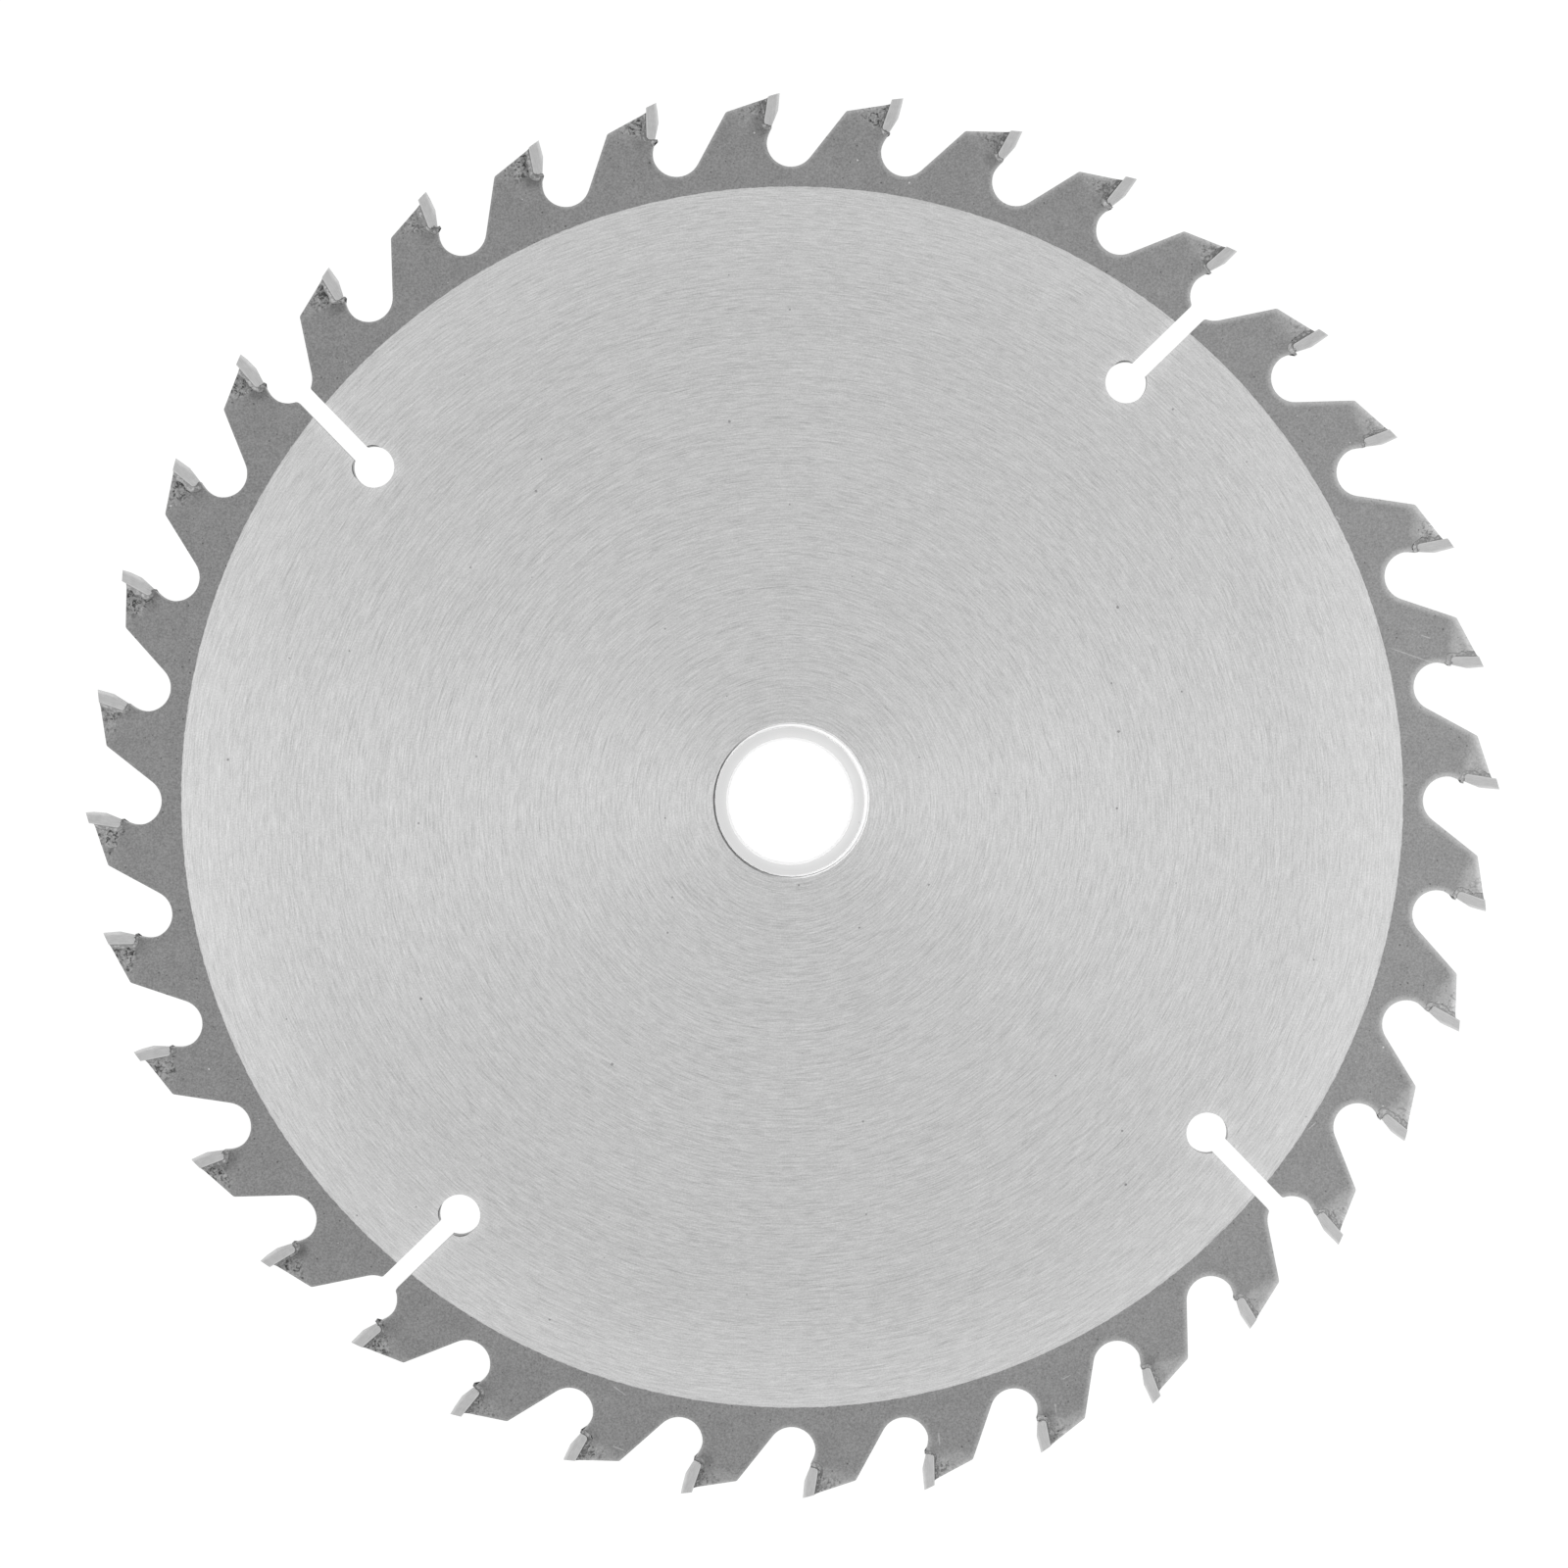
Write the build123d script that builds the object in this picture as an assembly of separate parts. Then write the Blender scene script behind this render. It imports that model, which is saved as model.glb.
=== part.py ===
"""A 184 mm carbide-tipped circular saw blade with a 20 mm bore and a loose ring that reduces it to 16 mm.

Millimetres, +Z up. The origin is the middle of the plate, on the blade's axis and halfway through its
thickness. Seen from +Z the blade cuts clockwise. Tooth 1 has its cutting corner on +X, and the teeth are
counted counter-clockwise.

Each tooth is drawn in its own frame, standing at twelve o'clock: +Y is the radial through its cutting
corner and +X is the cutting direction.
"""

from build123d import *
import os
from math import cos, radians, sin, tan

# Blade
cutting_diameter = 184.0
kerf = 2.6
plate_thickness = 1.6
tooth_count = 36
bore_diameter = 20.0
bore_chamfer = 0.2

# Ground centre of both faces, inside the dark heat-treated rim
rim_width = 12.4
ground_depth = 0.03

# Angles of a tooth, in degrees: those of flanks lean from the radial towards the cutting direction
hook_angle = 6.0
seat_lean = 10.0
throat_lean = 23.4
back_lean = 29.4
top_clearance = 14.0
back_clearance = 17.5
top_bevel = 12.0
side_clearance_back = 2.5
side_clearance_in = 1.5

# Carbide tip, measured from its cutting corner
tip_thickness = 1.35
tip_length = 4.7
rake_length = 2.25
tip_foot_radius = 0.5

# Braze between a tip and its seat, and the bead that it leaves along the tip on both faces of the plate
braze_gap = 0.1
bead_width = 0.45
bead_step = 0.06

# Tooth body and gullet: depths are measured inwards from the cutting circle
back_relief = 0.48
shoulder_radius = 0.5
gullet_depth = 9.86
gullet_radius = 3.14
throat_step = 0.0913

# Expansion slots, each running in from the bottom of a gullet to a round hole
slot_count = 4
first_slot_tooth = 6
slot_width = 2.4
slot_length = 12.71
slot_lean = 6.8
slot_setback = 0.35
slot_mouth_round = 0.4
keyhole_diameter = 5.4

# Reduction ring, which lies against one side of the bore and leaves a hole of 16 mm
ring_wall = 1.775
ring_play = 0.225
ring_touch_gap = 0.035
ring_direction = 200.0
ring_inset = 0.1
ring_bore_chamfer = 0.3
ring_rim_chamfer = 0.12

# Worked out from the sizes above
tip_radius = cutting_diameter / 2
pitch = 360.0 / tooth_count
half_plate = plate_thickness / 2
half_kerf = kerf / 2
gullet_floor = tip_radius - gullet_depth
ground_radius = tip_radius - rim_width
ring_radius = bore_diameter / 2 - ring_play
ring_thickness = plate_thickness - 2 * ring_inset
ring_offset = ring_play - ring_touch_gap


def leaning(angle):
    """Unit vector that points outwards and leans from the radial towards the cutting direction."""
    return Vector(sin(radians(angle)), cos(radians(angle)))


def behind(direction):
    """Unit vector square to a leaning one, pointing away from the cutting direction."""
    return Vector(-direction.Y, direction.X)


def crossing(point_a, along_a, point_b, along_b):
    """Point where two straight lines cross, each given by a point and a direction."""
    apart = point_b - point_a
    turn = along_a.X * along_b.Y - along_a.Y * along_b.X
    reach = (apart.X * along_b.Y - apart.Y * along_b.X) / turn
    return point_a + along_a * reach


def turned(point, angle):
    """A point turned counter-clockwise about the blade's axis."""
    return point.rotate(Axis.Z, angle)


# Directions of the flanks of a tooth
rake_up = leaning(hook_angle)
seat_up = leaning(seat_lean)
throat_up = leaning(throat_lean)
back_up = leaning(back_lean)
seat_back = behind(seat_up)
back_down = Vector(-cos(radians(back_clearance)), -sin(radians(back_clearance)))

# Corners of the carbide tip
cutting_corner = Vector(0, tip_radius)
rake_foot = cutting_corner - rake_up * (rake_length / cos(radians(hook_angle)))
tip_rear = cutting_corner + seat_back * tip_thickness
tip_foot = cutting_corner - seat_up * tip_length
tip_heel = crossing(tip_rear, seat_up, tip_foot, seat_back)
tip_toe = crossing(tip_foot, seat_back, rake_foot, throat_up)

# Corners of the tooth body behind and under the tip: the throat runs down from the seat into the gullet
seat_rear = tip_rear + seat_back * braze_gap
seat_foot = tip_foot - seat_up * braze_gap
seat_corner = crossing(seat_rear, seat_up, seat_foot, seat_back)
throat_back = behind(throat_up)
seat_front = crossing(seat_foot, seat_back, rake_foot - throat_back * throat_step, throat_up)
gullet_level = Vector(0, gullet_floor + gullet_radius)
gullet_centre = crossing(seat_front - throat_back * gullet_radius, throat_up, gullet_level, Vector(1, 0))
gullet_bottom = gullet_centre - Vector(0, gullet_radius)
throat_foot = gullet_centre + throat_back * gullet_radius
back_foot = turned(gullet_centre, pitch) - behind(back_up) * gullet_radius
back_top = cutting_corner - Vector(0, back_relief)
seat_top = crossing(seat_rear, seat_up, back_top, back_down)
shoulder = crossing(back_foot, back_up, back_top, back_down)
slot_mouth = gullet_bottom - Vector(slot_setback, 0)


def side_height(point):
    """Height of a tip's tapered side over the middle of the plate, at a point of the tooth's frame."""
    taper = tan(radians(side_clearance_back)) * (cutting_corner.X - point.X)
    taper += tan(radians(side_clearance_in)) * (cutting_corner.Y - point.Y)
    return half_kerf - taper


def stand(tooth, piece):
    """Turn a piece from twelve o'clock to the place of a tooth, counted from 1."""
    return Rot(0, 0, (tooth - 1) * pitch - 90) * piece


def tooth_edges():
    """Outline of one tooth: its gullet, throat, tip seat, back and shoulder."""
    gullet = ThreePointArc(turned(back_foot, -pitch), gullet_bottom, throat_foot)
    body = FilletPolyline(
        throat_foot,
        seat_front,
        seat_corner,
        seat_top,
        shoulder,
        back_foot,
        radius=(0, tip_foot_radius + braze_gap, 0, shoulder_radius),
    )
    return gullet.edges() + body.edges()


def slot_teeth():
    """Numbers of the teeth that have an expansion slot in the gullet in front of them."""
    return [first_slot_tooth + round(i * tooth_count / slot_count) for i in range(slot_count)]


def expansion_slot(height):
    """Cutter for one slot and the round hole at its inner end, in the tooth's frame."""
    hole = slot_mouth - leaning(slot_lean) * slot_length
    run = slot_length + gullet_radius
    channel = Pos(hole) * Rot(0, 0, -slot_lean) * Pos(0, run / 2) * Rectangle(slot_width, run)
    outline = channel + Pos(hole) * Circle(keyhole_diameter / 2)
    return extrude(outline, height / 2, both=True)


def round_slot_mouths(plate):
    """Round the two corners where each slot opens into its gullet."""
    corners = ShapeList()
    for tooth in slot_teeth():
        mouth = turned(slot_mouth, (tooth - 1) * pitch - 90)
        uprights = plate.edges().filter_by(Axis.Z)
        corners += uprights.filter_by(lambda edge: (edge.center() - mouth).length < slot_width)
    return fillet(corners, slot_mouth_round)


def break_bore_edges(plate):
    """Chamfer the bore where it meets the two ground faces."""
    rims = plate.edges().filter_by(GeomType.CIRCLE)
    rims = rims.filter_by(lambda edge: abs(edge.radius - bore_diameter / 2) < bore_chamfer)
    return chamfer(rims, bore_chamfer)


def blade_plate():
    """Steel plate with its teeth, bore, expansion slots and shallow ground faces."""
    outline = ShapeList()
    for tooth in range(1, tooth_count + 1):
        outline += [stand(tooth, edge) for edge in tooth_edges()]
    plate = extrude(make_face(outline), half_plate, both=True)
    plate -= Cylinder(bore_diameter / 2, plate_thickness)
    plate -= [stand(tooth, expansion_slot(plate_thickness)) for tooth in slot_teeth()]
    plate = round_slot_mouths(plate)
    for side in (1, -1):
        plate -= Pos(0, 0, side * (half_plate - ground_depth / 2)) * Cylinder(ground_radius, ground_depth)
    return break_bore_edges(plate)


def carbide_tip(side):
    """Tip whose top bevel rises to the +Z face for side 1, or to the -Z face for side -1."""
    spare = kerf
    outline = FilletPolyline(
        cutting_corner + rake_up * spare,
        rake_foot,
        tip_toe,
        tip_heel,
        tip_rear + seat_up * spare,
        radius=(0, 0, 0, tip_foot_radius, 0),
        close=True,
    )
    tip = extrude(make_face(outline), half_kerf + spare, both=True)
    clearance = tan(radians(top_clearance))
    high_corner = cutting_corner + Vector(0, 0, side * half_kerf)
    bevelled_top = Plane(high_corner, z_dir=(-clearance, 1, -side * tan(radians(top_bevel))))
    tip = split(tip, bevelled_top, keep=Keep.BOTTOM)
    for face in (1, -1):
        taper = (-tan(radians(side_clearance_back)), -tan(radians(side_clearance_in)), face)
        tapered_side = Plane(cutting_corner + Vector(0, 0, face * half_kerf), z_dir=taper)
        tip = split(tip, tapered_side, keep=Keep.BOTTOM)
    return tip


def braze_joint():
    """Braze round the back and foot of a tip, with a bead on each face, ground off at the tooth's edges."""
    bead_top = side_height(tip_heel) - bead_step
    bead_foot = braze_gap + bead_width
    run_out = 2 * bead_foot
    path = FilletPolyline(
        tip_toe - seat_back * run_out,
        tip_heel,
        crossing(tip_rear, seat_up, back_top, back_down) + seat_up * run_out,
        radius=tip_foot_radius,
    )
    section = Plane(path @ 0, x_dir=-seat_up, z_dir=seat_back) * make_face(
        Polyline(
            (0, bead_top),
            (bead_foot, half_plate),
            (braze_gap, half_plate),
            (braze_gap, -half_plate),
            (bead_foot, -half_plate),
            (0, -bead_top),
            close=True,
        )
    )
    braze = sweep(section, path)
    braze = split(braze, Plane(back_top, z_dir=(back_down.Y, -back_down.X, 0)), keep=Keep.BOTTOM)
    return split(braze, Plane(throat_foot, z_dir=-throat_back), keep=Keep.BOTTOM)


def reduction_ring():
    """Flat ring between the plate's bore and a smaller arbor, lying off the blade's axis by its play."""
    ring = Cylinder(ring_radius, ring_thickness) - Cylinder(ring_radius - ring_wall, ring_thickness)
    rims = ring.edges().filter_by(GeomType.CIRCLE).sort_by(lambda edge: edge.radius)
    ring = chamfer(rims[:2], ring_bore_chamfer)
    rims = ring.edges().filter_by(GeomType.CIRCLE).sort_by(lambda edge: edge.radius)
    ring = chamfer(rims[-2:], ring_rim_chamfer)
    return Rot(0, 0, ring_direction) * Pos(ring_offset, 0, 0) * ring


def write(name, piece):
    """Write one sub-part to its own STEP file."""
    export_step(piece, f"parts/{name}.step")


os.makedirs("parts", exist_ok=True)
write("blade_plate", blade_plate())
write("reduction_ring", reduction_ring())
tips = {side: carbide_tip(side) for side in (1, -1)}
joint = braze_joint()
joints = []
for number in range(1, tooth_count + 1):
    high_side = 1 if number % 2 else -1
    write(f"carbide_tip_{number:02d}", stand(number, tips[high_side]))
    joints += stand(number, joint).solids()
write("braze_joints", Compound(joints))
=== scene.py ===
from math import atan2, cos, pi, radians, sin, tan

import bpy
from mathutils import Matrix, Vector, noise

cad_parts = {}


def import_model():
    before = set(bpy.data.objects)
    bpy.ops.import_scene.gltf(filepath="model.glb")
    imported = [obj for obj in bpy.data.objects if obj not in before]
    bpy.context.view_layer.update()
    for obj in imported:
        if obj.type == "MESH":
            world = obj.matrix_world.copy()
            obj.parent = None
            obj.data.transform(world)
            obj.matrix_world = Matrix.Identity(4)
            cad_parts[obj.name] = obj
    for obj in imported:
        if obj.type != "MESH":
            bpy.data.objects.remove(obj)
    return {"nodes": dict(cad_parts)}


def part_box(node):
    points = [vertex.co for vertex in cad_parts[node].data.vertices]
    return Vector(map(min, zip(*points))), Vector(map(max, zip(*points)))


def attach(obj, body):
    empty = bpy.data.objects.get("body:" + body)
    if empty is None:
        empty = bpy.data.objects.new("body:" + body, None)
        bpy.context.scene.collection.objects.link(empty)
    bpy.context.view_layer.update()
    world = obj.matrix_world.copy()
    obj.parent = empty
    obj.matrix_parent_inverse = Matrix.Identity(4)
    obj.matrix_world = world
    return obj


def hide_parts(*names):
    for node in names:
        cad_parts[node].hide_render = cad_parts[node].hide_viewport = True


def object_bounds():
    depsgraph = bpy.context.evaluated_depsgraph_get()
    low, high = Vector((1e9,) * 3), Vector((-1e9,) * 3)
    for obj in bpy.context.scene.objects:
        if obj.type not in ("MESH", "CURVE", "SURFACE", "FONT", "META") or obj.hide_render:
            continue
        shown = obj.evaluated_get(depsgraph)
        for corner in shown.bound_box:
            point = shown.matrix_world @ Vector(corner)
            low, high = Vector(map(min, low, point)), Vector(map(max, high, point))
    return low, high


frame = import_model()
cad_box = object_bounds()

# The finish of a carbide-tipped circular saw blade. Sizes are in millimetres and are turned into metres where
# a mesh or the camera is made. Only the floor, the lamps and the camera's clip_start are given in metres. A
# tooth is drawn as in the CAD: standing at twelve o'clock, with +Y the radial through its cutting corner and
# +X the cutting direction.
MM = 0.001
NODES = frame["nodes"]


def millimetres(corner):
    """A corner of a box from the frame, in millimetres."""
    return corner / MM


# Sizes that the frame gives
tooth_count = sum(name.startswith("carbide_tip_") for name in NODES)
pitch = 2 * pi / tooth_count
tip_radius = millimetres(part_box("carbide_tip_01")[1]).x
half_kerf = millimetres(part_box("carbide_tip_01")[1]).z
half_plate = millimetres(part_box("blade_plate")[1]).z
floor_level = millimetres(cad_box[0]).z

# Sizes of the ground centre, a tooth, its tip and a slot, as the CAD has them or works them out. Angles are
# in degrees
ground_radius = 79.6
hook_angle = 6.0
seat_lean = 10.0
throat_lean = 23.4
back_lean = 29.4
back_clearance = 17.5
side_clearance_back = 2.5
side_clearance_in = 1.5
tip_thickness = 1.35
tip_length = 4.7
rake_length = 2.25
tip_foot_radius = 0.5
braze_gap = 0.1
throat_step = 0.0913
back_relief = 0.48
gullet_radius = 3.14
gullet_centre = Vector((1.35, 85.28))
first_slot_tooth = 6
slot_count = 4
slot_width = 2.4
slot_length = 12.71
slot_lean = 6.8
slot_setback = 0.35
keyhole_diameter = 5.4

# Crescents of painted shade at the round slot ends: how far one reaches out past the hole's edge, how far its
# middle is moved towards it, and for each the slot, counted from 0, and its direction in the photograph in
# degrees
crescent_shade_width = 0.18
crescent_shade_shift = 1.0
shaded_crescents = ((0, 100), (1, 190), (1, 95), (2, 172), (2, 275))

# Scratches on the rim: the tooth, the scratch's two ends in the tooth's frame, and its width
rim_scratches = (
    (2, (-5.0, 79.7), (-1.6, 85.6), 0.22),
    (2, (-5.8, 84.1), (-4.9, 85.7), 0.22),
    (3, (-9.4, 79.1), (-8.6, 79.6), 0.35),
    (26, (-2.8, 80.1), (-5.2, 80.9), 0.25),
    (26, (-5.4, 87.7), (-7.5, 87.8), 0.25),
    (29, (-3.2, 84.9), (-3.1, 86.8), 0.35),
    (30, (-4.1, 86.0), (-3.7, 87.4), 0.30),
    (30, (-5.8, 83.5), (-7.5, 83.3), 0.22),
    (33, (-9.1, 79.4), (-10.8, 79.7), 0.25),
)

# Stations of a brazed joint along the foot, the heel and the rear of its tip, and points across a bead
foot_stations = 12
heel_stations = 10
rear_stations = 36
bead_points = 11

# A bead's width, how far it sinks below the tip's side, and the nub in front of the throat: the usual size,
# how much that changes, and the least. The width changes along the joint and from tooth to tooth
usual_width = 0.58
width_change = 0.45
tooth_width_change = 0.3
least_width = braze_gap + 0.12
usual_sink = 0.09
sink_change = 0.10
least_sink = 0.02
usual_nub = 0.12
nub_change = 0.45
least_nub = 0.02

# Form of a bead from the tip to its edge: the power of its fall, which is hollow above 1, and its lumps
bead_hollow = 1.6
lump_height = 0.05
lumps_to_a_millimetre = 3

# How far the noise of the beads moves on from one station to the next and from one tooth to the next
station_step = 0.11
tooth_step = 7.3

# Picks the draw in which the sooty teeth are about those of the photograph
soot_draw = 136439.0

# Further than any edge is from a place on its tooth, which keeps an edge from being the nearest
far_away = 9.0

# The floor: half its side in metres, its colour for the light that it throws back, and its colour and glow
# where it is seen. Then the strength of the even light from all round
floor_half = 3.0
floor_grey = 0.8
seen_floor_grey = 0.15
seen_floor_glow = 0.93
room_light = 0.90

# The camera stands almost straight above the blade, which the photograph shows turned by blade_turn
image_width = 1600
focal_pixels = 3537.2
sensor_width = 36.0
camera_place = Vector((3.102, 17.675, 452.01))
camera_tilt = -1.966
camera_lean = 0.513
blade_turn = 0.922


def leaning(angle):
    """Unit vector that points outwards and leans from the radial towards the cutting direction."""
    return Vector((sin(radians(angle)), cos(radians(angle))))


def behind(direction):
    """Unit vector square to a leaning one, pointing away from the cutting direction."""
    return Vector((-direction.y, direction.x))


def crossing(point_a, along_a, point_b, along_b):
    """Point where two straight lines cross, each given by a point and a direction."""
    apart = point_b - point_a
    turn = along_a.x * along_b.y - along_a.y * along_b.x
    return point_a + along_a * ((apart.x * along_b.y - apart.y * along_b.x) / turn)


def turned(point, angle):
    """A point turned counter-clockwise about the blade's axis, by an angle in radians."""
    return Vector((point.x * cos(angle) - point.y * sin(angle), point.x * sin(angle) + point.y * cos(angle)))


def on_tooth(point, tooth):
    """A point of the tooth's frame, at the place of a tooth counted from 1."""
    return turned(point, (tooth - 1) * pitch - pi / 2)


# Corners of a tip and of its seat, and of the tooth behind them
seat_up = leaning(seat_lean)
seat_back = behind(seat_up)
throat_up = leaning(throat_lean)
throat_back = behind(throat_up)
cutting_corner = Vector((0, tip_radius))
rake_foot = cutting_corner - leaning(hook_angle) * (rake_length / cos(radians(hook_angle)))
tip_rear = cutting_corner + seat_back * tip_thickness
tip_foot = cutting_corner - seat_up * tip_length
tip_heel = crossing(tip_rear, seat_up, tip_foot, seat_back)
throat_point = rake_foot - throat_back * throat_step
back_top = cutting_corner - Vector((0, back_relief))
back_down = Vector((-cos(radians(back_clearance)), -sin(radians(back_clearance))))
back_out = Vector((back_down.y, -back_down.x))
back_up = leaning(back_lean)
throat_foot = gullet_centre + throat_back * gullet_radius
back_foot = turned(gullet_centre, pitch) - behind(back_up) * gullet_radius
slot_mouth = gullet_centre - Vector((slot_setback, gullet_radius))
keyhole = slot_mouth - leaning(slot_lean) * slot_length


class Paint:
    """A material, with short calls for the nodes that it is made of."""

    def __init__(self, name):
        self.material = bpy.data.materials.new(name)
        self.material.use_nodes = True
        self.tree = self.material.node_tree
        self.tree.nodes.clear()
        coordinates = self.add("TexCoord")
        self.x, self.y, self.z = self.split(self.scaled(coordinates.outputs["Object"], 1 / MM))
        self.normal_z = self.split(coordinates.outputs["Normal"])[2]
        self.facing = self.step(self.maths("ABSOLUTE", self.normal_z), 0.8, 0.9)

    def add(self, kind, **settings):
        """A new node of a kind, with its settings."""
        node = self.tree.nodes.new("ShaderNode" + kind)
        for name, value in settings.items():
            setattr(node, name, value)
        return node

    def feed(self, node, *values):
        """Set a node's inputs in their order, each to a number or to another node's socket."""
        for socket, value in zip(node.inputs, values):
            if isinstance(value, bpy.types.NodeSocket):
                self.tree.links.new(value, socket)
            elif value is not None:
                socket.default_value = value
        return node

    def maths(self, operation, *values):
        return self.feed(self.add("Math", operation=operation), *values).outputs[0]

    def plus(self, a, b):
        return self.maths("ADD", a, b)

    def minus(self, a, b):
        return self.maths("SUBTRACT", a, b)

    def times(self, a, b):
        return self.maths("MULTIPLY", a, b)

    def swing(self, value, amount):
        """A value of 0 to 1 made to swing about 0, by half the amount each way."""
        return self.times(self.minus(value, 0.5), amount)

    def added(self, colour, mask, amount):
        """A colour with an amount added where a mask is 1, or taken off where the amount is negative."""
        return self.plus(colour, self.times(mask, amount))

    def darkened(self, colour, mask, share):
        """A colour with a share of itself taken off where a mask is 1."""
        return self.times(colour, self.minus(1.0, self.times(mask, share)))

    def step(self, value, low, high, start=0.0, end=1.0):
        """A soft step: start below low, end above high."""
        node = self.add("MapRange", interpolation_type="SMOOTHSTEP")
        return self.feed(node, value, low, high, start, end).outputs[0]

    def only_above(self, distance, y, level):
        """A distance from an edge that counts above a level of y, and is far away below it."""
        return self.plus(distance, self.step(y, level - 0.1, level, far_away, 0.0))

    def blend(self, share, a, b):
        """A where share is 0 and b where it is 1."""
        return self.feed(self.add("Mix"), share, None, a, b).outputs[0]

    def split(self, vector):
        return self.feed(self.add("SeparateXYZ"), vector).outputs

    def joined(self, x, y, z=0.0):
        return self.feed(self.add("CombineXYZ"), x, y, z).outputs[0]

    def scaled(self, vector, factor):
        """A vector times a number."""
        node = self.add("VectorMath", operation="SCALE")
        self.feed(node, vector, None, None, factor)
        return node.outputs[0]

    def shifted(self, vector, seed):
        """A vector moved so far along z that noise takes another pattern there."""
        node = self.add("VectorMath", operation="ADD")
        self.feed(node, vector, (0.0, 0.0, seed))
        return node.outputs[0]

    def least(self, *values):
        """The smallest of several values."""
        smallest = values[0]
        for value in values[1:]:
            smallest = self.maths("MINIMUM", smallest, value)
        return smallest

    def length(self, x, y):
        node = self.add("VectorMath", operation="LENGTH")
        self.feed(node, self.joined(x, y))
        return node.outputs["Value"]

    def noise(self, vector, scale=1.0, detail=1.0, rough=0.5, warp=0.0):
        """Soft noise from 0 to 1, with scale features to a millimetre."""
        node = self.add("TexNoise")
        self.feed(node, vector, None, scale, detail, rough)
        node.inputs["Distortion"].default_value = warp
        return node.outputs["Fac"]

    def grain(self, scale, detail=1.0, rough=0.5, seed=0.0, warp=0.0):
        """Noise over the surface. Each seed gives another pattern."""
        return self.noise(self.joined(self.x, self.y, self.plus(self.z, seed)), scale, detail, rough, warp)

    def streaks(self, lengths, widths, detail=1.0, rough=0.5, seed=0.0):
        """Noise drawn out round the blade's axis: lengths and widths are features to a millimetre."""
        along = self.scaled(self.joined(self.x, self.y), lengths)
        across = self.scaled(self.slope, self.times(self.radius, widths))
        spot = self.feed(self.add("VectorMath", operation="ADD"), along, across).outputs[0]
        return self.noise(self.shifted(spot, seed), 1.0, detail, rough)

    def dots(self, scale, share, size, seed=0.0):
        """Sparse round dots: 1 at their middle. A share of the cells has one, up to size across."""
        node = self.add("TexVoronoi", voronoi_dimensions="2D")
        self.feed(node, self.joined(self.plus(self.x, seed), self.y), None, scale)
        chance, spread, _ = self.split(node.outputs["Color"])
        reach = self.times(self.step(chance, 1 - share, 1.0), self.plus(self.times(spread, 0.6), 0.4))
        edge = self.times(reach, size * scale / 2)
        return self.step(self.minus(edge, node.outputs["Distance"]), 0.0, 0.05 * scale)

    def scratch(self, start, end, width):
        """One straight scratch on the blade: 1 on its line, fading to 0 at half its width and at its ends."""
        run = end - start
        direction = run.normalized()
        x, y = self.minus(self.x, start.x), self.minus(self.y, start.y)
        along = self.plus(self.times(x, direction.x), self.times(y, direction.y))
        across = self.minus(self.times(x, direction.y), self.times(y, direction.x))
        within = self.least(along, self.minus(run.length, along))
        line = self.step(self.maths("ABSOLUTE", across), 0.0, width / 2, 1.0, 0.0)
        return self.times(line, self.step(within, 0.0, run.length / 4))

    def disc(self, centre, radius, soft):
        """1 inside a circle on the blade and 0 outside it."""
        from_centre = self.length(self.minus(self.x, centre.x), self.minus(self.y, centre.y))
        return self.step(from_centre, radius - soft, radius, 1.0, 0.0)

    def use_polar(self):
        """Radius and angle about the blade's axis, for what goes round it, and a slanting direction along
        which streaks read their noise as the radius grows."""
        self.radius = self.length(self.x, self.y)
        self.angle = self.maths("ARCTAN2", self.y, self.x)
        self.slope = self.joined(0.37, 0.47, 0.80)

    def side(self, direction):
        """1 on the side of the blade that lies at an angle in degrees, falling to -1 on the far side."""
        return self.maths("COSINE", self.minus(self.angle, radians(direction)))

    def folded(self, first, spacing, lead):
        """Coordinates of a frame that repeats round the axis, standing at twelve o'clock, and the number of
        the repeat. The first frame is at one angle, and each takes in what lies up to lead before it."""
        number = self.maths("FLOOR", self.times(self.plus(self.angle, lead - first), 1 / spacing))
        back = self.minus(self.minus(self.angle, first), self.times(number, spacing))
        x = self.times(self.times(self.radius, -1.0), self.maths("SINE", back))
        y = self.times(self.radius, self.maths("COSINE", back))
        return x, y, number

    def use_tooth(self):
        """Coordinates in the frame of the nearest tooth, and the tooth's number."""
        lead = atan2(gullet_centre.x, gullet_centre.y)
        self.tooth_x, self.tooth_y, self.tooth = self.folded(0.0, pitch, lead)

    def reach(self, x, y, direction, point):
        """How far a place x, y is from a point along a direction."""
        along = self.plus(self.times(x, direction.x), self.times(y, direction.y))
        return self.minus(along, direction.dot(point))

    def towards(self, direction, point):
        """Distance from a point along a direction, in the tooth's frame."""
        return self.reach(self.tooth_x, self.tooth_y, direction, point)

    def metal(self, colour, roughness, height=None, relief=0.0, brushed=0.0):
        """Metal with a colour and roughness. Relief is how many millimetres a height of 1 stands up, and
        brushed is how much wider its gloss spreads across marks that run round the blade's axis."""
        shader = self.add("BsdfPrincipled")
        shader.inputs["Metallic"].default_value = 1.0
        self.feed(shader, colour, None, roughness)
        if height is not None:
            bump = self.feed(self.add("Bump"), 1.0, relief * MM, None, height)
            self.tree.links.new(bump.outputs[0], shader.inputs["Normal"])
        if brushed:
            shader.inputs["Anisotropic"].default_value = brushed
            outwards = self.feed(self.add("VectorMath", operation="NORMALIZE"), self.joined(self.x, self.y))
            self.tree.links.new(outwards.outputs[0], shader.inputs["Tangent"])
        return shader.outputs[0]

    def layered(self, share, a, b):
        """Shader a where share is 0 and b where it is 1."""
        return self.feed(self.add("MixShader"), share, a, b).outputs[0]

    def finish(self, shader):
        """Put the shader on the surface."""
        self.feed(self.add("OutputMaterial"), shader)
        return self.material


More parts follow.
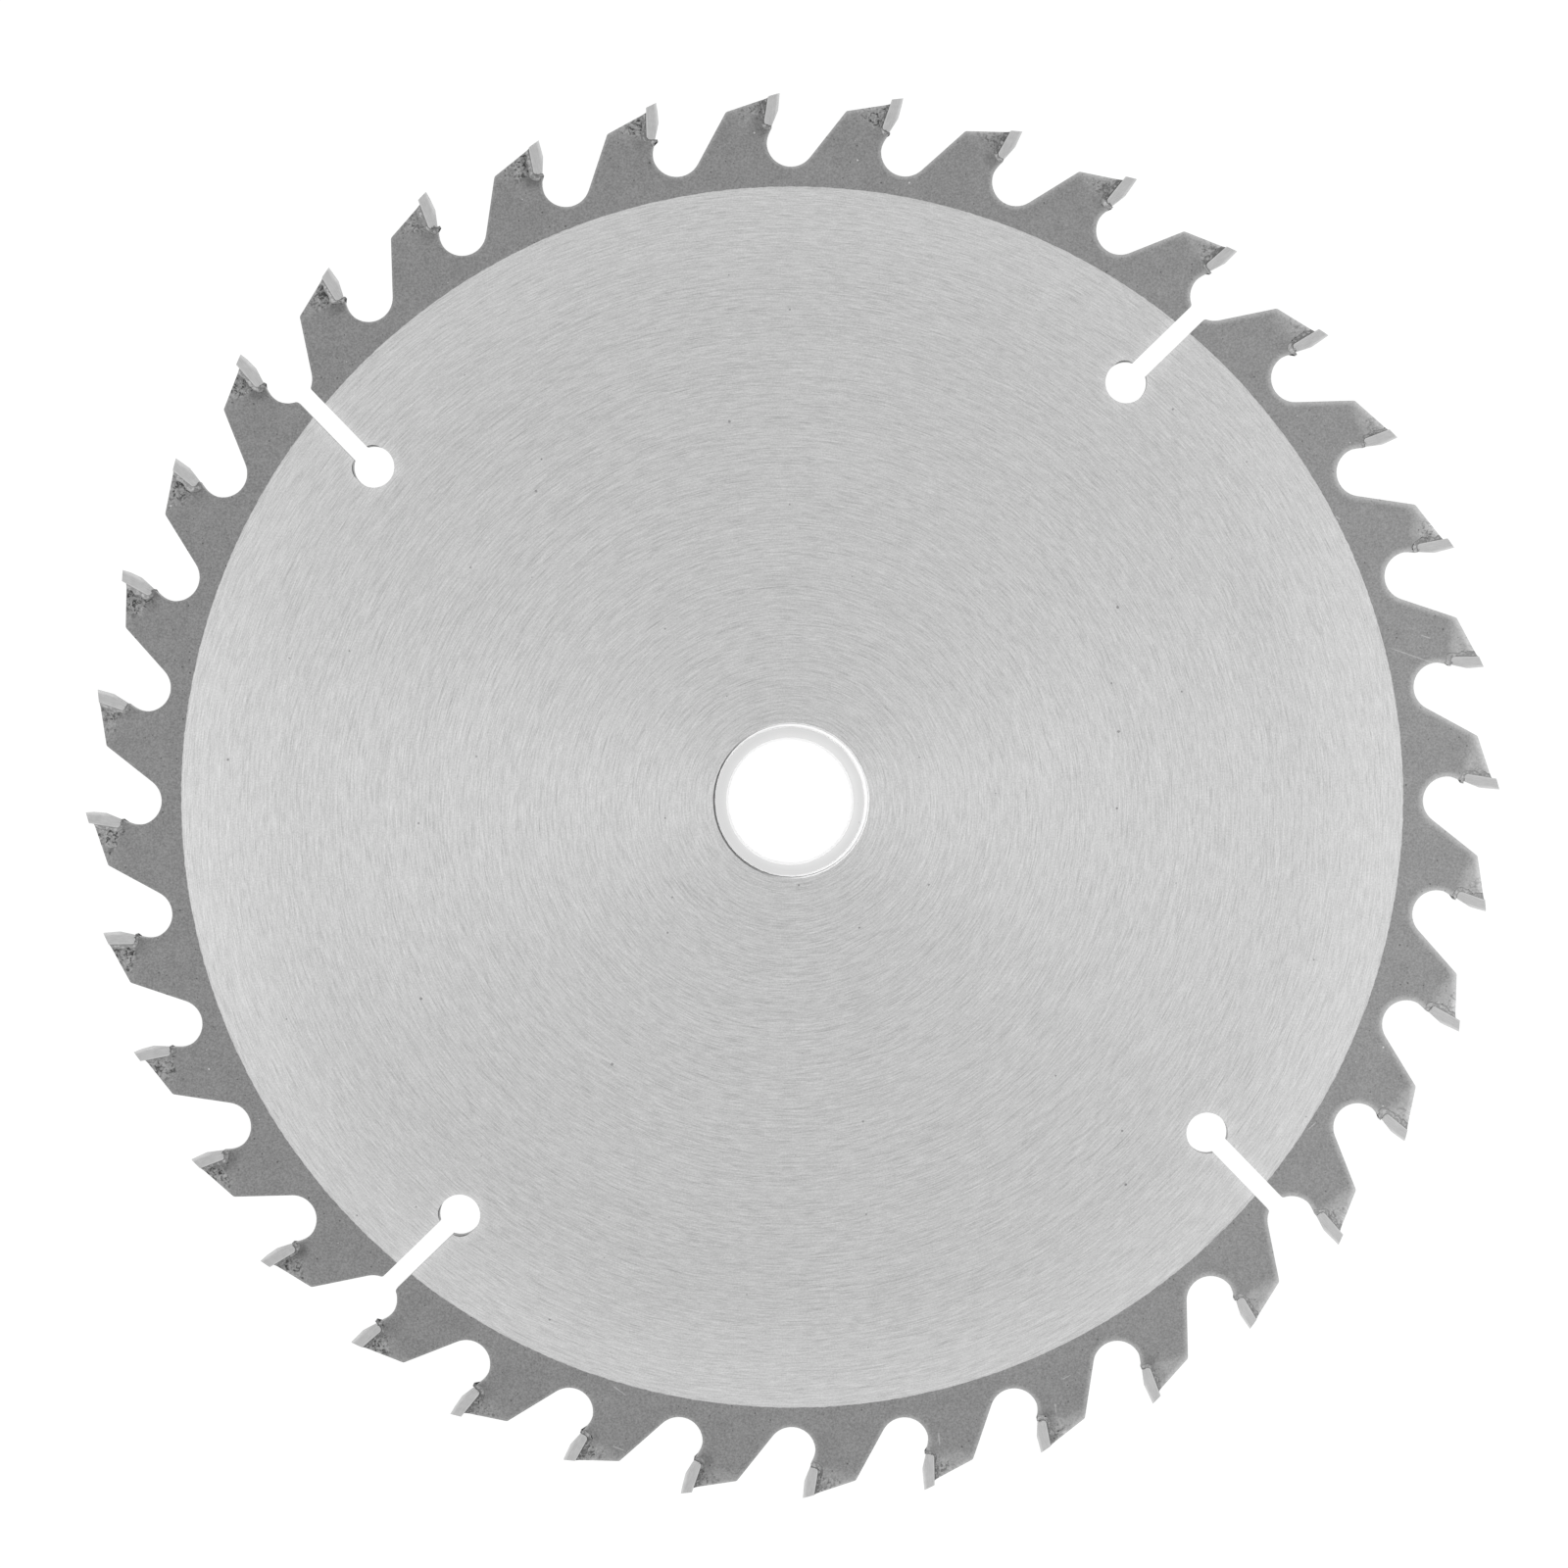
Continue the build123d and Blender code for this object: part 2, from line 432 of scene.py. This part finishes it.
def painted_slot_shade(p):
    """Dark crescents of painted shade on the edges of three of the round slot ends."""
    total = 0.0
    for slot, direction in shaded_crescents:
        tooth = first_slot_tooth + slot * tooth_count // slot_count
        towards_lip = turned(Vector((1, 0)), radians(direction - blade_turn))
        centre = on_tooth(keyhole, tooth) + towards_lip * crescent_shade_shift
        lip = p.disc(centre, keyhole_diameter / 2 - crescent_shade_shift + crescent_shade_width, 0.08)
        total = p.maths("MAXIMUM", total, lip)
    return total


def slot_edges(p):
    """1 along the edges of the slots and of their round ends, fading to 0 away from them."""
    spacing = 2 * pi / slot_count
    x, y, _ = p.folded((first_slot_tooth - 1) * pitch, spacing, spacing / 2)
    channel = p.maths("ABSOLUTE", p.reach(x, y, behind(leaning(slot_lean)), keyhole))
    channel = p.only_above(channel, y, keyhole.y)
    from_hole = p.length(p.minus(x, keyhole.x), p.minus(y, keyhole.y))
    hole = p.minus(from_hole, (keyhole_diameter - slot_width) / 2)
    return p.step(p.minus(p.least(channel, hole), slot_width / 2), 0.0, 1.6, 1.0, 0.0)


def ground_steel(p):
    """The plate's ground centre: short and long arcs round the axis, some of them deeper, and faint wider
    bands. It is paler outwards, the more so at the bottom, and along the slots."""
    short_arcs = p.streaks(0.55, 6.5, 1.0, 0.7)
    long_arcs = p.streaks(0.12, 9.0, 1.0, 0.6, seed=30.0)
    bands = p.streaks(0.02, 0.7, 1.0, seed=70.0)
    deep = p.step(p.streaks(0.3, 15.0, 0.0, seed=110.0), 0.60, 0.78)
    specks = p.dots(0.12, 0.5, 0.45, seed=90.0)
    colour = p.plus(p.swing(short_arcs, 0.26), 0.50)
    colour = p.plus(colour, p.swing(long_arcs, 0.15))
    colour = p.plus(colour, p.swing(bands, 0.03))
    colour = p.plus(colour, p.swing(p.grain(5.0, 0.0, seed=130.0), 0.15))
    colour = p.added(colour, deep, -0.09)
    colour = p.added(colour, specks, -0.22)
    paler_outwards = p.minus(0.038, p.times(p.maths("SINE", p.angle), 0.012))
    colour = p.added(colour, p.step(p.radius, 64.0, 80.0), paler_outwards)
    colour = p.added(colour, slot_edges(p), 0.045)
    # Painted shade in crescents at three of the round slot ends
    colour = p.darkened(colour, painted_slot_shade(p), 0.8)
    roughness = p.plus(0.38, p.times(long_arcs, 0.12))
    return p.metal(colour, roughness, long_arcs, 0.003, brushed=0.75)


def edge_distance(p):
    """Distance inwards from the nearest edge of a tooth: its back, top and throat and the two gullets."""
    gullet_edges = []
    for centre in (gullet_centre, turned(gullet_centre, pitch)):
        away = p.length(p.minus(p.tooth_x, centre.x), p.minus(p.tooth_y, centre.y))
        gullet_edges.append(p.minus(away, gullet_radius))
    top = p.times(p.towards(back_out, back_top), -1.0)
    back = p.times(p.towards(behind(back_up), back_foot), -1.0)
    back = p.only_above(back, p.tooth_y, back_foot.y)
    throat = p.only_above(p.towards(throat_back, throat_foot), p.tooth_y, throat_foot.y)
    return p.least(*gullet_edges, top, back, throat)


def painted_glint_sides(p):
    """A painted glint: 1 where the solder behind the tips is palest, on the right and on the left a little
    clockwise of level, and 0 half-way between."""
    clockwise = radians(15)
    return p.plus(0.5, p.times(p.maths("COSINE", p.times(p.plus(p.angle, clockwise), 2.0)), 0.5))


def heat_marks(p, colour):
    """Flux and scale behind each tip: dark pits and pale flakes near it, a pale stain that thins out towards
    the shoulder, a few dark spots, and soot close round it. Each tooth has its own share of them. On the
    right the stains are painted paler and the soot is fainter, as painted light from that side, and close
    round the tips a painted glint lightens the plate on two sides of the blade."""
    chance = p.feed(p.add("TexWhiteNoise", noise_dimensions="1D"), None, p.plus(p.tooth, soot_draw))
    amount, spread, soot = p.split(chance.outputs["Color"])
    upper_left = p.side(150)
    right = p.step(p.side(-25), -0.3, 1.0)
    ragged = p.swing(p.grain(0.7, 2.0, 0.6, seed=21.0), 3.0)
    behind_tip = p.towards(seat_back, tip_rear)

    steep = p.towards(leaning(32.0), tip_heel)
    shallow = p.towards(leaning(12.0), tip_heel)
    border = p.blend(p.plus(p.times(spread, 0.6), p.times(upper_left, 0.4)), steep, shallow)
    field = p.step(p.plus(p.plus(border, ragged), p.times(upper_left, 0.3)), -0.3, 0.5)
    strength = p.plus(p.plus(0.50, p.times(upper_left, 0.30)), p.times(amount, 0.5))
    marks = p.times(field, strength)

    stain = p.step(p.plus(shallow, p.times(ragged, 0.5)), -0.8, 0.8)
    stain = p.times(stain, p.step(behind_tip, 4.0, 9.0, 1.0, 0.0))
    # The stain is painted paler on the right: painted light from that side
    colour = p.added(colour, stain, p.plus(0.030, p.times(right, 0.058)))

    spotted = p.times(marks, p.step(behind_tip, 3.5, 7.5, 1.0, 0.0))
    colour = p.darkened(colour, p.times(spotted, p.dots(1.5, 0.5, 0.55, seed=33.0)), 0.5)

    worm = p.grain(2.0, 1.5, 0.65, seed=27.0, warp=0.8)
    pits = p.step(worm, 0.38, 0.48, 1.0, 0.0)
    flakes = p.step(worm, 0.54, 0.64)
    marked = p.added(p.added(colour, pits, -0.18), flakes, 0.09)
    near = p.times(marks, p.step(behind_tip, 1.5, 4.5, 1.0, 0.0))
    colour = p.blend(near, colour, p.maths("MAXIMUM", marked, 0.05))

    under_tip = p.times(p.towards(seat_up, tip_foot), -1.0)
    from_tip = p.length(p.maths("MAXIMUM", behind_tip, 0.0), p.maths("MAXIMUM", under_tip, 0.0))
    # Painted glint: close round each tip the plate is lightened on two sides of the blade
    least_dark = p.plus(0.92, p.times(painted_glint_sides(p), 0.08))
    # Less soot on the right: painted light from that side
    sooty = p.times(p.times(soot, soot), p.step(p.side(0), 0.55, 0.95, 0.42, 0.0))
    darkest = p.minus(least_dark, sooty)
    return p.times(colour, p.step(p.plus(from_tip, p.times(ragged, 0.5)), 0.3, 2.2, darkest, 1.0))


def scratches(p):
    """The few straight scratches on the rim."""
    total = 0.0
    for tooth, start, end, width in rim_scratches:
        line = p.scratch(on_tooth(Vector(start), tooth), on_tooth(Vector(end), tooth), width)
        total = p.maths("MAXIMUM", total, line)
    return total


def rim_steel(p):
    """The plate's dark rim: grain, faint clouds, pits, specks and scratches, with a painted highlight along
    its edges.
    """
    grain = p.grain(4.2, 1.0, 0.6)
    clouds = p.grain(0.3, 2.0, seed=2.0)
    pits = p.dots(1.0, 0.35, 0.32, seed=40.0)
    specks = p.dots(0.3, 0.25, 0.3, seed=70.0)
    colour = p.plus(p.swing(grain, 0.21), 0.220)
    colour = p.plus(colour, p.swing(clouds, 0.045))
    colour = p.darkened(colour, pits, 0.52)
    colour = p.added(colour, specks, 0.27)
    colour = p.added(colour, scratches(p), 0.13)
    colour = heat_marks(p, colour)
    # A painted highlight along the rim's edges, wider and stronger towards the right
    toward_right = p.plus(0.5, p.times(p.side(0), 0.5))
    edge_highlight_width = p.plus(0.25, p.times(toward_right, 0.65))
    edge = p.step(p.maths("DIVIDE", edge_distance(p), edge_highlight_width), 0.0, 1.0, 1.0, 0.0)
    colour = p.added(colour, edge, p.plus(0.027, p.times(toward_right, 0.11)))
    return p.metal(colour, p.plus(0.30, p.times(grain, 0.12)), grain, 0.004)


def cut_steel(p):
    """The plate's cut walls, with fine marks through the thickness, and the chamfers of the bore, which have
    painted light on the right and painted shadow on the left."""
    marks = p.noise(p.joined(p.times(p.x, 5.0), p.times(p.y, 5.0), p.times(p.z, 0.4)), 1.0, 2.0)
    wall = p.plus(0.27, p.times(marks, 0.18))
    # The bore's chamfers: painted light on the right, painted shadow on the left
    lip = p.step(p.side(13), -0.85, 0.1, 0.25, 0.90)
    lip = p.added(lip, p.side(-40), 0.08)
    lip = p.plus(lip, p.swing(marks, 0.18))
    chamfered = p.step(p.maths("ABSOLUTE", p.normal_z), 0.3, 0.6)
    return p.metal(p.blend(chamfered, wall, lip), p.plus(0.45, p.times(marks, 0.2)))


def plate_material():
    """Steel plate with a circularly ground centre inside a dark rim."""
    p = Paint("plate_steel")
    p.use_polar()
    p.use_tooth()
    wobble = p.swing(p.grain(1.5, 0.0, seed=51.0), 0.12)
    outside = p.step(p.plus(p.radius, wobble), ground_radius - 0.02, ground_radius + 0.02)
    face = p.layered(outside, ground_steel(p), rim_steel(p))
    return p.finish(p.layered(p.facing, cut_steel(p), face))


def carbide_material():
    """Sintered carbide, ground on its sides along the tip, with solder run up over its foot, and painted
    highlights along its rear and cutting edges.
    """
    p = Paint("carbide")
    p.use_polar()
    p.use_tooth()
    lengthwise = p.towards(seat_up, tip_foot)
    crosswise = p.towards(seat_back, tip_rear)
    lines = p.noise(p.joined(p.times(lengthwise, 0.8), p.times(crosswise, 9.0), p.tooth), 1.0, 1.0)
    clouds = p.grain(1.3, 2.0, 0.6, seed=5.0)
    colour = p.plus(0.418, p.swing(lines, 0.13))
    colour = p.plus(colour, p.swing(clouds, 0.13))
    # Painted highlights: paler bands along the tip's rear and cutting edges
    rear = p.step(p.maths("ABSOLUTE", p.plus(crosswise, 0.08)), 0.02, 0.12, 1.0, 0.0)
    front = p.step(p.towards(behind(leaning(hook_angle)), cutting_corner), 0.0, 0.45, 1.0, 0.0)
    colour = p.plus(colour, p.plus(p.times(rear, 0.054), p.times(front, 0.126)))
    solder = p.plus(0.15, p.times(p.step(p.grain(3.0, 1.0, seed=15.0), 0.42, 0.62), 0.27))
    film = p.step(p.plus(lengthwise, p.swing(clouds, 1.2)), 0.0, 0.15, 1.0, 0.0)
    colour = p.blend(film, colour, solder)
    return p.finish(p.metal(colour, p.plus(0.36, p.times(clouds, 0.15)), lines, 0.003))


def ring_material():
    """Turned steel ring: smooth pale faces with faint turning marks, a few stains, and chamfers with a
    near-white painted highlight.
    """
    p = Paint("ring_steel")
    p.use_polar()
    turning = p.streaks(0.05, 9.0, 1.0)
    clouds = p.grain(0.5, 2.0, seed=4.0)
    stains = p.dots(0.5, 0.3, 0.5, seed=9.0)
    colour = p.plus(0.56, p.swing(turning, 0.045))
    colour = p.plus(colour, p.swing(clouds, 0.045))
    colour = p.plus(colour, p.step(p.radius, 8.2, 9.2, 0.054, 0.0))
    colour = p.added(colour, stains, -0.09)
    face = p.metal(colour, p.plus(0.30, p.times(clouds, 0.15)), turning, 0.002)
    # The chamfers' near-white colour is a painted highlight
    edges = p.metal(p.plus(0.94, p.times(turning, 0.04)), p.plus(0.85, p.times(clouds, 0.1)))
    return p.finish(p.layered(p.facing, edges, face))


def braze_material():
    """Silver solder, dull and blackened by the flux, with brighter spots, darkest where it meets the tip,
    from the flux and from painted shade in the crease there. A painted glint makes it paler and more even on
    the right, and behind the tips on the left too."""
    p = Paint("braze")
    p.use_polar()
    p.use_tooth()
    across = p.add("Attribute", attribute_name="across").outputs["Fac"]
    lumps = p.grain(2.8, 2.0, 0.65)
    # Darkest where the bead meets the tip: flux blackening and painted shade in the crease
    flux_and_crease_shade = p.step(p.plus(across, p.swing(lumps, 0.5)), 0.1, 0.35, 1.0, 0.0)
    thin = p.step(p.plus(across, p.swing(lumps, 0.9)), 0.6, 0.95)
    dark = p.plus(0.135, p.times(p.step(lumps, 0.46, 0.66), 0.235))
    dark = p.blend(thin, dark, p.plus(0.115, p.times(lumps, 0.16)))
    dark = p.blend(flux_and_crease_shade, dark, p.plus(0.06, p.times(lumps, 0.11)))
    pale = p.plus(0.31, p.times(p.step(lumps, 0.42, 0.62), 0.20))
    pale = p.blend(thin, pale, p.plus(0.16, p.times(lumps, 0.26)))
    pale = p.blend(flux_and_crease_shade, pale, p.plus(0.25, p.times(lumps, 0.17)))
    # Painted glint: paler, more even solder on the right, and behind the tips on the left
    painted_light_under_tips = p.step(p.side(0), -0.6, 1.0, 0.3, 1.0)
    paler = p.blend(p.step(p.towards(seat_up, tip_foot), -0.2, 0.2), painted_light_under_tips, painted_glint_sides(p))
    colour = p.blend(paler, dark, pale)
    return p.finish(p.metal(colour, p.plus(0.34, p.times(lumps, 0.25)), lumps, 0.012))


def seen(tree):
    """1 for what the camera sees by itself, in a gloss or through glass, and 0 for other light."""
    path = tree.nodes.new("ShaderNodeLightPath")
    kinds = [path.outputs[f"Is {kind} Ray"] for kind in ("Camera", "Glossy", "Transmission")]
    total = kinds[0]
    for kind in kinds[1:]:
        either = tree.nodes.new("ShaderNodeMath")
        either.operation = "MAXIMUM"
        tree.links.new(total, either.inputs[0])
        tree.links.new(kind, either.inputs[1])
        total = either.outputs[0]
    return total


def grey(level):
    """A colour of one level in red, green and blue."""
    return (level, level, level, 1.0)


def floor_material():
    """Pale floor that shows as white, by itself and in a gloss, and keeps a soft shadow."""
    material = bpy.data.materials.new("pale_floor")
    material.use_nodes = True
    tree = material.node_tree
    tree.nodes.clear()
    output = tree.nodes.new("ShaderNodeOutputMaterial")
    pale = tree.nodes.new("ShaderNodeBsdfDiffuse")
    pale.inputs["Color"].default_value = grey(floor_grey)
    faint = tree.nodes.new("ShaderNodeBsdfDiffuse")
    faint.inputs["Color"].default_value = grey(seen_floor_grey)
    glow = tree.nodes.new("ShaderNodeEmission")
    glow.inputs["Strength"].default_value = seen_floor_glow
    both = tree.nodes.new("ShaderNodeAddShader")
    mix = tree.nodes.new("ShaderNodeMixShader")
    tree.links.new(seen(tree), mix.inputs[0])
    tree.links.new(pale.outputs[0], mix.inputs[1])
    tree.links.new(faint.outputs[0], both.inputs[0])
    tree.links.new(glow.outputs[0], both.inputs[1])
    tree.links.new(both.outputs[0], mix.inputs[2])
    tree.links.new(mix.outputs[0], output.inputs["Surface"])
    return material


def side_height(point):
    """Height of a tip's tapered side over the middle of the plate, at a point of the tooth's frame."""
    taper = tan(radians(side_clearance_back)) * (cutting_corner.x - point.x)
    return half_kerf - taper - tan(radians(side_clearance_in)) * (cutting_corner.y - point.y)


def joint_line(out, nub):
    """Points of the line that runs at a distance out from the tip, round its foot and rear. The nub is how
    far the line stands out in front of the throat."""
    foot = tip_foot - seat_up * out
    front = crossing(foot, seat_back, throat_point, throat_up) - seat_back * nub
    turn = tip_heel + (seat_up - seat_back) * tip_foot_radius
    start = turn - seat_up * (tip_foot_radius + out)
    end = turn + seat_back * (tip_foot_radius + out)
    back = crossing(end, seat_up, back_top, back_down)
    line = [front.lerp(start, i / foot_stations) for i in range(foot_stations)]
    for i in range(heel_stations):
        bend = pi / 2 * i / heel_stations
        line.append(turn + (seat_back * sin(bend) - seat_up * cos(bend)) * (tip_foot_radius + out))
    line += [end.lerp(back, i / rear_stations) for i in range(rear_stations + 1)]
    return line


def wander(x, y, z):
    """Smooth noise, between about -1 and 1, at a point of the noise's own space."""
    return noise.noise(Vector((x, y, z)))


class Joint:
    """One brazed joint: its own draw of widths and lumps, and the lines that its points lie on."""

    def __init__(self, tooth):
        self.seed = tooth * tooth_step
        self.nub = max(least_nub, usual_nub + nub_change * wander(self.seed, 1.5, 0.5))
        self.spread = tooth_width_change * wander(self.seed, 8.5, 2.5)
        self.seat = joint_line(braze_gap, self.nub)
        self.lines = {}

    def line(self, out, share):
        """The line at a distance out, made once and kept, with the nub made smaller by a share."""
        out = round(out, 4)
        if out not in self.lines:
            self.lines[out] = joint_line(out, self.nub * (1 - share))
        return self.lines[out]

    def bead(self, side, station):
        """Points of one side's bead, from the tip to its edge and then in the seat: each with its place on
        the tooth, its height and its share of the way across, which is -1 in the seat."""
        along = station * station_step
        width = usual_width + width_change * wander(along, self.seed, 3.0 * side) + self.spread
        width = max(least_width, width)
        sink = usual_sink + sink_change * wander(along * 1.7, self.seed + 9.0, 5.0 * side)
        sink = max(least_sink, sink)
        rows = []
        for i in range(bead_points):
            share = i / (bead_points - 1)
            spot = self.line(share * width, share)[station]
            top = side_height(spot) - sink - half_plate
            x, y = spot * lumps_to_a_millimetre
            lump = lump_height * wander(x, y, self.seed + side)
            rise = top * (1 - share) ** bead_hollow + lump * share * (1 - share) * 4
            rows.append((spot, side * (half_plate + max(0.0, rise)), share))
        rows.append((self.seat[station], side * half_plate, -1.0))
        return rows


def braze_joints(material):
    """All the brazed joints as closed meshes: solder in each seat and a ragged bead on both faces."""
    points, faces, across = [], [], []
    stations = foot_stations + heel_stations + rear_stations + 1
    ring = 2 * bead_points + 2
    for tooth in range(tooth_count):
        joint = Joint(tooth)
        first = len(points)
        last = first + (stations - 1) * ring
        turn = Matrix.Rotation(tooth * pitch - pi / 2, 3, "Z")
        for station in range(stations):
            for spot, height, share in joint.bead(1, station) + joint.bead(-1, station)[::-1]:
                points.append(turn @ Vector((spot.x, spot.y, height)) * MM)
                across.append(share)
        for start in range(first, last, ring):
            for i in range(ring):
                a = start + i
                b = start + (i + 1) % ring
                faces.append((a, a + ring, b + ring, b))
        faces.append(tuple(range(first, first + ring)))
        faces.append(tuple(range(last + ring - 1, last - 1, -1)))
    mesh = bpy.data.meshes.new("braze")
    mesh.from_pydata(points, [], faces)
    mesh.attributes.new("across", "FLOAT", "POINT").data.foreach_set("value", across)
    mesh.materials.append(material)
    mesh.update()
    mesh.shade_smooth()
    piece = bpy.data.objects.new("braze_beads", mesh)
    bpy.context.scene.collection.objects.link(piece)
    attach(piece, "root")
    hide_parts("braze_joints")


def dress(node, material):
    """Give a CAD node its finish."""
    slots = NODES[node].material_slots
    if not slots:
        NODES[node].data.materials.append(material)
    for slot in slots:
        slot.material = material


def floor():
    """Wide plain floor that the blade lies on."""
    mesh = bpy.data.meshes.new("floor")
    corners = [(x * floor_half, y * floor_half, 0) for x, y in ((-1, -1), (1, -1), (1, 1), (-1, 1))]
    mesh.from_pydata(corners, [], [(0, 1, 2, 3)])
    mesh.materials.append(floor_material())
    plane = bpy.data.objects.new("floor", mesh)
    plane.location.z = floor_level * MM
    bpy.context.scene.collection.objects.link(plane)


def softbox(name, place, size, power):
    """Rectangular soft light, in metres and watts, turned towards the blade."""
    light = bpy.data.lights.new(name, "AREA")
    light.shape = "RECTANGLE"
    light.size, light.size_y = size
    light.energy = power
    lamp = bpy.data.objects.new(name, light)
    lamp.location = place
    lamp.rotation_euler = (-Vector(place)).to_track_quat("-Z", "Y").to_euler()
    bpy.context.scene.collection.objects.link(lamp)


def world():
    """Soft even light from all round, which shows as white."""
    scene_world = bpy.data.worlds.new("studio")
    bpy.context.scene.world = scene_world
    scene_world.use_nodes = True
    tree = scene_world.node_tree
    tree.nodes.clear()
    output = tree.nodes.new("ShaderNodeOutputWorld")
    room = tree.nodes.new("ShaderNodeBackground")
    room.inputs["Color"].default_value = grey(1.0)
    room.inputs["Strength"].default_value = room_light
    white = tree.nodes.new("ShaderNodeBackground")
    white.inputs["Color"].default_value = grey(1.0)
    mix = tree.nodes.new("ShaderNodeMixShader")
    tree.links.new(seen(tree), mix.inputs[0])
    tree.links.new(room.outputs[0], mix.inputs[1])
    tree.links.new(white.outputs[0], mix.inputs[2])
    tree.links.new(mix.outputs[0], output.inputs["Surface"])


def camera():
    """The photograph's viewing point, turned with the blade."""
    data = bpy.data.cameras.new("camera")
    data.sensor_width = sensor_width
    data.lens = focal_pixels / image_width * sensor_width
    data.clip_start = 0.01
    eye = bpy.data.objects.new("camera", data)
    tilt = Matrix.Rotation(radians(camera_tilt), 4, "X")
    lean = Matrix.Rotation(radians(camera_lean), 4, "Y")
    turn = Matrix.Rotation(radians(-blade_turn), 4, "Z")
    eye.matrix_world = turn @ Matrix.Translation(camera_place * MM) @ tilt @ lean
    bpy.context.scene.collection.objects.link(eye)
    bpy.context.scene.camera = eye


bpy.context.scene.view_settings.view_transform = "Standard"
camera()
world()
floor()
softbox("right_softbox", place=(0.30, -0.07, 1.20), size=(0.5, 0.8), power=0.94)
softbox("left_softbox", place=(-0.90, -0.06, 1.00), size=(0.6, 0.9), power=1.33)

dress("blade_plate", plate_material())
dress("reduction_ring", ring_material())
carbide = carbide_material()
for name in NODES:
    if name.startswith("carbide_tip_"):
        dress(name, carbide)
braze_joints(braze_material())
